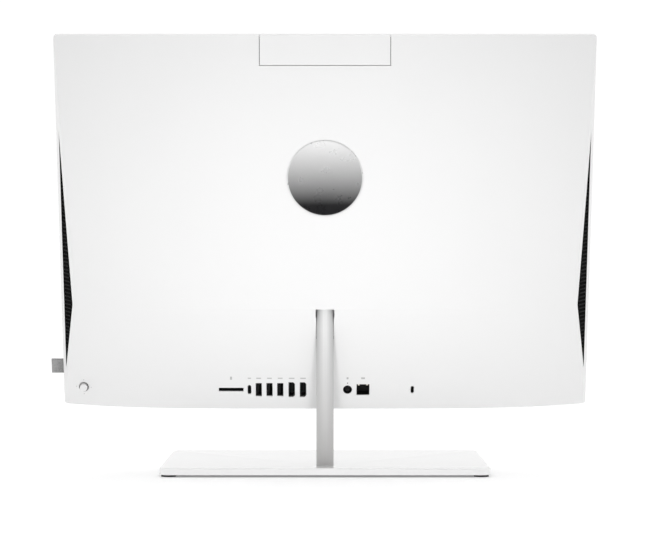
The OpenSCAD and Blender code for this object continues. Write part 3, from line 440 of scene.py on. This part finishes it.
# ------------------------------------------------------------------ softened CAD edges
def smooth_group():
    """Geometry nodes that shade smooth and keep edges sharper than an angle crisp."""
    g = bpy.data.node_groups.new("smooth_by_angle", "GeometryNodeTree")
    g.interface.new_socket("Geometry", in_out="INPUT", socket_type="NodeSocketGeometry")
    angle = g.interface.new_socket("Angle", in_out="INPUT", socket_type="NodeSocketFloat")
    angle.default_value = 0.5
    g.interface.new_socket("Geometry", in_out="OUTPUT", socket_type="NodeSocketGeometry")
    start, end = g.nodes.new("NodeGroupInput"), g.nodes.new("NodeGroupOutput")
    faces = g.nodes.new("GeometryNodeSetShadeSmooth")
    edges = g.nodes.new("GeometryNodeSetShadeSmooth")
    edges.domain = "EDGE"
    turn = g.nodes.new("GeometryNodeInputMeshEdgeAngle")
    less = g.nodes.new("FunctionNodeCompare")
    less.operation = "LESS_EQUAL"
    g.links.new(turn.outputs["Unsigned Angle"], less.inputs[0])
    g.links.new(start.outputs["Angle"], less.inputs[1])
    g.links.new(start.outputs["Geometry"], faces.inputs["Geometry"])
    g.links.new(faces.outputs[0], edges.inputs["Geometry"])
    g.links.new(less.outputs[0], edges.inputs["Shade Smooth"])
    g.links.new(edges.outputs[0], end.inputs[0])
    return g


SMOOTH = smooth_group()


def soften(obj, width=0.0, sharp=30.0):
    """Round the edges by width, and keep those that turn more than sharp degrees crisp."""
    weld = obj.modifiers.new("weld", "WELD")
    weld.merge_threshold = 2e-6
    if width:
        bevel = obj.modifiers.new("bevel", "BEVEL")
        bevel.width = width
        bevel.segments = 2
        bevel.limit_method = "ANGLE"
        bevel.angle_limit = math.radians(30)
        bevel.harden_normals = False
    smooth = obj.modifiers.new("smooth", "NODES")
    smooth.node_group = SMOOTH
    smooth["Socket_1"] = math.radians(sharp)


# Width of the rounded edges, in millimetres
BEVELS = {
    "display_frame": 0.5, "camera_housing": 0.25, "base_weight": 0.3, "hinge_bracket_left": 0.2,
    "hinge_bracket_right": 0.2, "hard_drive": 0.4, "speaker_left": 0.5, "speaker_right": 0.5,
    "card_reader": 0.2, "lan_port": 0.2, "screen_glass": 0.2, "badge": 0.12, "hinge_nuts": 0.3,
}
for material, names in FINISHES.items():
    for name in names:
        node = frame["nodes"][name]
        node.data.materials.clear()
        node.data.materials.append(material)
        soften(node, BEVELS.get(name, 0) * MM, sharp=8.0 if name == "rear_cover" else 30.0)


# ------------------------------------------------------------------ mesh helpers
def new_mesh(name, verts, faces, material, body, *replaced):
    """A smooth piece that rides on a body and may stand for CAD nodes."""
    mesh = bpy.data.meshes.new(name)
    mesh.from_pydata([tuple(v) for v in verts], [], faces)
    mesh.validate()
    mesh.materials.append(material)
    obj = bpy.data.objects.new(name, mesh)
    bpy.context.scene.collection.objects.link(obj)
    for p in mesh.polygons:
        p.use_smooth = True
    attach(obj, body)
    if replaced:
        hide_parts(*replaced)
    return obj


def grid_faces(rows, cols):
    """Four-sided faces of a grid whose vertices are listed row by row."""
    return [
        (r * cols + c, r * cols + c + 1, (r + 1) * cols + c + 1, (r + 1) * cols + c)
        for r in range(rows - 1)
        for c in range(cols - 1)
    ]


def ring_faces(first, second, turns):
    """Four-sided faces between two closed rings of vertices, given by their numbers."""
    return [
        (first * turns + i, first * turns + (i + 1) % turns,
         second * turns + (i + 1) % turns, second * turns + i)
        for i in range(turns)
    ]


def solidify(obj, thick):
    """Give a sheet its thickness, half to each side."""
    s = obj.modifiers.new("thickness", "SOLIDIFY")
    s.thickness = thick
    s.offset = 0.0


# ------------------------------------------------------------------ fabric bar and ribbon tab
def speaker_cloth():
    """Cloth stretched over the carrier, its four edges rolled back around it."""
    lo, hi = panel_box("speaker_fabric")
    thick = 0.5 * MM
    roll = 0.9 * MM
    edge = 0.3 * MM
    ripple_height = 0.03 * MM
    front = lo[1] + thick / 2 + 0.05 * MM
    cols, rows, roll_steps = 260, 34, 5

    def profile(lo_s, hi_s, count):
        """Places across the cloth with how far each has rolled back."""
        out = []
        for i in range(roll_steps):
            a = math.pi / 2 * (1 - i / roll_steps)
            out.append((lo_s + roll * (1 - math.sin(a)), roll * (1 - math.cos(a))))
        for i in range(count + 1):
            out.append((lo_s + roll + (hi_s - lo_s - 2 * roll) * i / count, 0.0))
        for i in range(roll_steps):
            a = math.pi / 2 * (i + 1) / roll_steps
            out.append((hi_s - roll * (1 - math.sin(a)), roll * (1 - math.cos(a))))
        return out

    xs = profile(lo[0] + edge, hi[0] - edge, cols)
    ws = profile(lo[2] + edge, hi[2] - edge, rows)
    verts = []
    for w, dw in ws:
        for x, dx in xs:
            ripple = ripple_height * math.sin(x * 210 + 3 * math.sin(w * 90))
            n = front + max(dx, dw) * 0.75 + ripple * (dx == 0 and dw == 0)
            verts.append(on_panel(x, n, w))
    faces = grid_faces(len(ws), len(xs))
    obj = new_mesh("speaker_cloth", verts, faces, CLOTH, "display", "speaker_fabric")
    solidify(obj, thick)


def ribbon_tab():
    """A short ribbon folded back on itself, its fold outside the body's edge."""
    lo, hi = panel_box("fabric_tab")
    thick = 0.7 * MM
    mid_n = (lo[1] + hi[1]) / 2
    gap = (hi[1] - lo[1] - thick) / 2
    pinch = 0.35
    straight, bend = 10, 12
    end_x = hi[0] - gap - thick / 2

    def limb(i, side):
        """Place i along one of the two flat lengths, which close up towards the body."""
        share = i / straight
        spread = gap * (pinch + (1 - pinch) * share)
        return lo[0] + (end_x - lo[0]) * share, mid_n + side * spread

    path = [limb(i, -1) for i in range(straight)]
    for i in range(bend + 1):
        a = -math.pi / 2 + math.pi * i / bend
        path.append((end_x + gap * math.cos(a), mid_n + gap * math.sin(a)))
    path += [limb(i, 1) for i in range(straight - 1, -1, -1)]
    edge = 0.35 * MM
    rows = 14
    verts = []
    for r in range(rows + 1):
        w = lo[2] + edge + (hi[2] - lo[2] - 2 * edge) * r / rows
        for x, n in path:
            verts.append(on_panel(x, n, w))
    faces = grid_faces(rows + 1, len(path))
    obj = new_mesh("ribbon_tab", verts, faces, RIBBON, "display", "fabric_tab")
    solidify(obj, thick)


def stick_bowl():
    """A shallow white dish that lines the hole in the cover around the control stick."""
    lo, hi = panel_box("stick_housing")
    cap_lo, cap_hi = panel_box("stick_cap")
    mid_x, mid_w = (cap_lo[0] + cap_hi[0]) / 2, (lo[2] + hi[2]) / 2
    below_cap_top = 4.75 * MM
    rim = cap_hi[1] - below_cap_top
    # Radius and depth below the rim of each corner of the dish's section, in millimetres
    section = [(5.08, 0), (4.98, 0.2), (4.92, 0.5), (4.89, 0.58), (4.86, 0.62),
               (4.86, 0.68), (4.89, 0.74), (5.0, 0.76), (5.12, 0.2)]
    profile = [(r, rim - drop * MM) for r, drop in section]
    turns = 72
    verts = []
    for r, n in profile:
        for i in range(turns):
            a = 2 * math.pi * i / turns
            verts.append(on_panel(mid_x + r * MM * math.cos(a), n, mid_w + r * MM * math.sin(a)))
    count = len(profile)
    faces = []
    for j in range(count):
        faces += ring_faces(j, (j + 1) % count, turns)
    obj = new_mesh("stick_bowl", verts, faces, WHITE, "display")
    soften(obj, sharp=50)


def dust_mesh(side):
    """Fine black mesh stretched behind the slots of one side vent."""
    local = panel_points("side_vent_" + side)
    sign = 1 if local[:, 0].mean() > 0 else -1
    tolerance, behind, inset = 0.05 * MM, 1.1 * MM, 0.03

    def corner(measure):
        """Where a measure over the vent is least, set back behind its slots."""
        near = local[measure < measure.min() + tolerance]
        return Vector(near.mean(0)) - Vector((0, behind, 0))

    top, low = corner(-local[:, 2]), corner(local[:, 2])
    knee = corner(local[:, 0] * sign)
    rows, steps = 120, 4
    verts = []
    for i in range(rows + 1):
        outer = low.lerp(top, i / rows)
        if outer.z < knee.z:
            inner = low.lerp(knee, (outer.z - low.z) / (knee.z - low.z))
        else:
            inner = top.lerp(knee, (top.z - outer.z) / (top.z - knee.z))
        for k in range(steps + 1):
            verts.append(on_panel(*outer.lerp(inner, inset + (1 - 2 * inset) * k / steps)))
    obj = new_mesh("dust_mesh_" + side, verts, grid_faces(rows + 1, steps + 1), DUST_MESH, "display")
    solidify(obj, 0.3 * MM)


def socket_lens(side):
    """One of the two small domed windows in the network socket's upper corners."""
    lo, hi = panel_box("lan_port")
    mid = Vector(((lo[0] + hi[0]) / 2 + side * 4.25 * MM, hi[1], hi[2] - 3.5 * MM))
    half_wide, half_high, dome, proud = 0.8 * MM, 0.85 * MM, 0.3 * MM, 0.05 * MM
    squareness = 0.5
    rings, turns = 6, 32
    verts = []
    for ring in range(rings + 1):
        a = math.pi / 2 * ring / rings
        for i in range(turns):
            b = 2 * math.pi * i / turns
            cx, cw = math.cos(b), math.sin(b)
            x = half_wide * math.copysign(abs(cx) ** squareness, cx) * math.sin(a)
            w = half_high * math.copysign(abs(cw) ** squareness, cw) * math.sin(a)
            verts.append(on_panel(mid.x + x, mid.y + proud + dome * math.cos(a), mid.z + w))
    base = len(verts)
    verts += [v - OUT_PANEL * dome for v in verts[-turns:]]
    faces = []
    for ring in range(rings + 1):
        faces += ring_faces(ring, ring + 1, turns)
    faces.append(tuple(range(base, base + turns)))
    obj = new_mesh("socket_lens_" + ("left" if side > 0 else "right"), verts, faces, PALE_LENS, "display")
    soften(obj, sharp=40)


speaker_cloth()
ribbon_tab()
stick_bowl()
for side in (-1, 1):
    socket_lens(side)
dust_mesh("left")
dust_mesh("right")


# ------------------------------------------------------------------ stage, light and camera
floor_mat = Maker("studio_floor")
floor_mat.colour(floor_mat.ramp(floor_mat.noise(3, 2), 0.3, 0.7, grey(0.80), grey(0.82)))
floor_mat.put(roughness=0.75, emission_color=(1.0, 1.0, 1.0), emission_strength=0.2)
FLOOR_SIZE = 14
bpy.ops.mesh.primitive_plane_add(size=FLOOR_SIZE, location=(0, 0, 0))
floor = bpy.context.object
floor.name = "studio_floor"
floor.data.materials.append(floor_mat.mat)

FRONT_LEVEL = 0.95
REAR_LEVEL = 0.14
TOP_EXTRA = 0.45
SIDE_EXTRA = 0.4
SEEN_LEVEL = 1.03
world = bpy.data.worlds.new("studio")
bpy.context.scene.world = world
world.use_nodes = True


def world_node(kind, **values):
    """A new node of the world, with its settings."""
    node = world.node_tree.nodes.new(kind)
    for key, value in values.items():
        setattr(node, key, value)
    return node


def world_span(source, low, high, to_low, to_high):
    """An eased step of the sky's brightness as one direction value goes from low to high."""
    node = world_node("ShaderNodeMapRange", interpolation_type="SMOOTHSTEP")
    for key, v in (("From Min", low), ("From Max", high), ("To Min", to_low), ("To Max", to_high)):
        node.inputs[key].default_value = v
    world.node_tree.links.new(source, node.inputs["Value"])
    return node.outputs["Result"]


# The camera sees plain white; as light, the sky is dimmer towards the rear, where the camera
# stands, and brighter overhead and at the sides
direction = world_node("ShaderNodeSeparateXYZ")
world.node_tree.links.new(world_node("ShaderNodeTexCoord").outputs["Generated"], direction.inputs[0])
toward_rear = world_span(direction.outputs["Y"], 0.0, 0.9, FRONT_LEVEL, REAR_LEVEL)
overhead = world_span(direction.outputs["Z"], 0.15, 0.9, 0.0, TOP_EXTRA)
sideways = world_node("ShaderNodeMath", operation="ABSOLUTE")
world.node_tree.links.new(direction.outputs["X"], sideways.inputs[0])
beside = world_span(sideways.outputs[0], 0.7, 1.0, 0.0, SIDE_EXTRA)
level = toward_rear
for extra in (overhead, beside):
    total = world_node("ShaderNodeMath", operation="ADD")
    world.node_tree.links.new(level, total.inputs[0])
    world.node_tree.links.new(extra, total.inputs[1])
    level = total.outputs[0]
seen = world_node("ShaderNodeMix", data_type="FLOAT")
seen.inputs["B"].default_value = SEEN_LEVEL
world.node_tree.links.new(world_node("ShaderNodeLightPath").outputs["Is Camera Ray"], seen.inputs["Factor"])
world.node_tree.links.new(level, seen.inputs["A"])
background = world.node_tree.nodes["Background"]
background.inputs["Color"].default_value = (1, 1, 1, 1)
world.node_tree.links.new(seen.outputs[0], background.inputs["Strength"])


def soft_spot(name, place, aim, reach, power, radius):
    """A lamp whose round pool of light fades out at reach metres from where it is aimed."""
    lamp = bpy.data.lights.new(name, "SPOT")
    distance = (Vector(aim) - Vector(place)).length
    lamp.spot_size = 2 * math.atan2(reach, distance)
    lamp.spot_blend = 1.0
    lamp.shadow_soft_size = radius
    lamp.energy = power
    obj = bpy.data.objects.new(name, lamp)
    obj.location = place
    obj.rotation_euler = (Vector(aim) - Vector(place)).to_track_quat("-Z", "Y").to_euler()
    obj.visible_glossy = False
    bpy.context.scene.collection.objects.link(obj)


# Name, height of the lamp, height aimed at, reach, watts and radius of each pair of rear lamps
LAMPS = [
    ("rear_spot", 0.30, 0.27, 0.45, 90, 0.42),
    ("low_spot", 0.12, 0.07, 0.30, 55, 0.30),
]
LAMP_ASIDE, LAMP_BACK, AIM_BACK = 0.6, 2.4, 0.06
for side in (-1, 1):
    for name, height, aim_height, reach, watts, radius in LAMPS:
        place = (LAMP_ASIDE * side, LAMP_BACK, height)
        soft_spot(name, place, (0, AIM_BACK, aim_height), reach, watts, radius)

EYE = Vector((0, 2.120, 0.208))
LENS_MM = 112.65
SENSOR_MM = 36
PITCH_DOWN = math.radians(0.24)
camera_data = bpy.data.cameras.new("camera")
camera_data.lens = LENS_MM
camera_data.sensor_width = SENSOR_MM
camera_data.clip_end = 50
camera = bpy.data.objects.new("camera", camera_data)
camera.location = EYE
camera.rotation_euler = (math.pi / 2 - PITCH_DOWN, 0, math.pi)
bpy.context.scene.collection.objects.link(camera)
bpy.context.scene.camera = camera
bpy.context.scene.view_settings.view_transform = "Standard"
bpy.context.scene.view_settings.look = "None"
